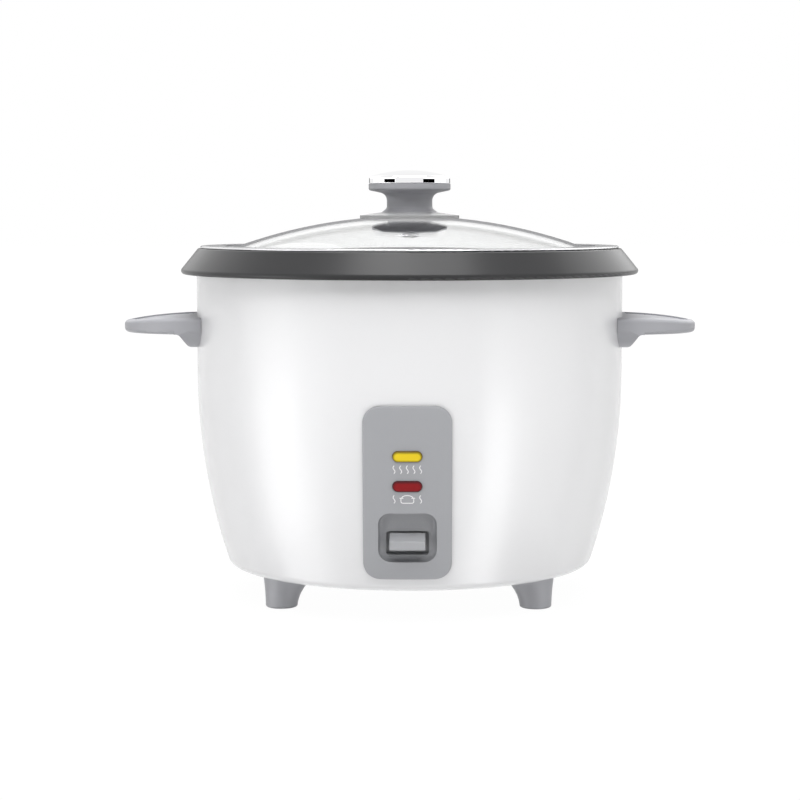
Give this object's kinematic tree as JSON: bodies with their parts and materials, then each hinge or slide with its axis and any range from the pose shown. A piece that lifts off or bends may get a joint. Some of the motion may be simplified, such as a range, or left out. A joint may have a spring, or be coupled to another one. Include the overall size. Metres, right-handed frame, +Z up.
{
  "type": "rice cooker",
  "caption": "Drum-shaped electric rice cooker with a glass lid, lift-out coated pot, side handles, front panel with a cook lever, indicator lenses, short feet and a rear power inlet.",
  "frame": {"origin": "on the drum's vertical axis, at the surface the foot pads stand on", "axes": "+Z up, -Y towards the control panel, +X to the right of someone facing the panel, along the line through both handles"},
  "size_m": [0.35, 0.2788, 0.2581],
  "materials": {
    "enamel_white": "smooth glossy white enamel",
    "grey_plastic": "fine satin moulded grey",
    "panel_plastic": "fine satin moulded grey",
    "key_plastic": "fine satin moulded grey",
    "bright_liner": "bright satin aluminium",
    "pot_coating": "dark grey satin coating",
    "clear_glass": "clear pressed glass",
    "polished_steel": "polished stainless steel",
    "chrome_cap": "bright chrome",
    "pale_plastic": "pale glossy moulded",
    "dark_silicone": "matt silicone",
    "amber_lens": "translucent amber",
    "red_lens": "translucent red",
    "lamp_glass": "small lamp glass",
    "white_plastic": "natural white moulded",
    "rubber_pad": "matt rubber",
    "steel_fasteners": "zinc plated",
    "pressed_steel": "zinc plated sheet",
    "spring_steel": "drawn wire",
    "ferrite_black": "sintered dark grey",
    "ceramic_white": "unglazed white",
    "brass_terminals": "bright brass",
    "black_plastic": "black moulded",
    "heater_foil": "foil-backed strip",
    "lead_brown": "insulated wire",
    "lead_blue": "insulated wire",
    "lead_green": "insulated wire",
    "lead_white": "woven sleeve"
  },
  "bodies": {
    "root": {"outer_shell": "enamel_white", "inner_liner": "bright_liner", "base_cover": "pressed_steel", "foot_front_left": "grey_plastic", "foot_front_right": "grey_plastic", "foot_rear_left": "grey_plastic", "foot_rear_right": "grey_plastic", "foot_pads": "rubber_pad", "foot_screws": "steel_fasteners", "handle_left": "grey_plastic", "handle_right": "grey_plastic", "handle_screws": "steel_fasteners", "control_panel": "panel_plastic", "panel_screws": "steel_fasteners", "warm_lens": "amber_lens", "cook_lens": "red_lens", "lamp_holder": "white_plastic", "indicator_lamps": "lamp_glass", "heating_plate": "bright_liner", "plate_posts": "pressed_steel", "plate_screws": "steel_fasteners", "heater_terminals": "brass_terminals", "terminal_bushes": "ceramic_white", "sensor_guide": "pressed_steel", "sensor_spring": "spring_steel", "lever_bracket": "pressed_steel", "bracket_screws": "steel_fasteners", "lever_pivot_pin": "pressed_steel", "switch_block": "black_plastic", "switch_terminals": "brass_terminals", "inlet_socket": "black_plastic", "inlet_pins": "brass_terminals", "inlet_screws": "steel_fasteners", "thermal_fuse": "ceramic_white", "fuse_clip": "pressed_steel", "keep_warm_band": "heater_foil", "live_lead": "lead_brown", "neutral_lead": "lead_blue", "earth_lead": "lead_green", "heater_lead": "lead_white", "fuse_lead": "lead_white"},
    "pot": {"inner_pot": "pot_coating"},
    "lid": {"lid_glass": "clear_glass", "lid_rim_band": "polished_steel", "vent_eyelet": "polished_steel", "knob_base": "pale_plastic", "lid_knob": "grey_plastic", "knob_crown": "chrome_cap", "knob_gasket": "dark_silicone", "knob_washer": "pale_plastic", "knob_screw": "steel_fasteners"},
    "sensor": {"sensor_cap": "bright_liner", "sensor_ferrite": "ferrite_black", "magnet_spring": "spring_steel"},
    "magnet": {"thermostat_magnet": "ferrite_black", "magnet_stem": "pressed_steel"},
    "lever": {"cook_button": "key_plastic", "key_shield": "panel_plastic", "lever_arm": "pressed_steel"},
    "plunger": {"switch_plunger": "black_plastic"}
  },
  "joints": [
    {"name": "pot_lift", "type": "slide", "parent": "root", "child": "pot", "axis": [0, 0, 1], "range_m": [0, 0.165]},
    {"name": "lid_lift", "type": "slide", "parent": "pot", "child": "lid", "axis": [0, 0, 1], "range_m": [0, 0.08]},
    {"name": "cook_lever", "type": "hinge", "parent": "root", "child": "lever", "pos_m": [0, -0.06, 0.04836], "axis": [1, 0, 0], "range_deg": [0, 3.3], "stiffness_Nm_per_rad": 0.3, "springref_deg": -5.73},
    {"name": "magnet_slide", "type": "slide", "parent": "root", "child": "magnet", "axis": [0, 0, 1], "range_m": [0, 0.0035], "deforming": ["magnet_spring"]},
    {"name": "plunger_slide", "type": "slide", "parent": "root", "child": "plunger", "axis": [0, 0, -1], "range_m": [0, 0.00175]},
    {"name": "sensor_rise", "type": "slide", "parent": "root", "child": "sensor", "axis": [0, 0, 1], "range_m": [0, 0.0025], "deforming": ["sensor_spring"]}
  ],
  "couplings": [
    {"joint": "magnet_slide", "follows": "cook_lever", "m_per_rad": 0.06},
    {"joint": "plunger_slide", "follows": "cook_lever", "m_per_rad": 0.03},
    {"joint": "sensor_rise", "follows": "pot_lift", "ratio": 0.015152}
  ]
}
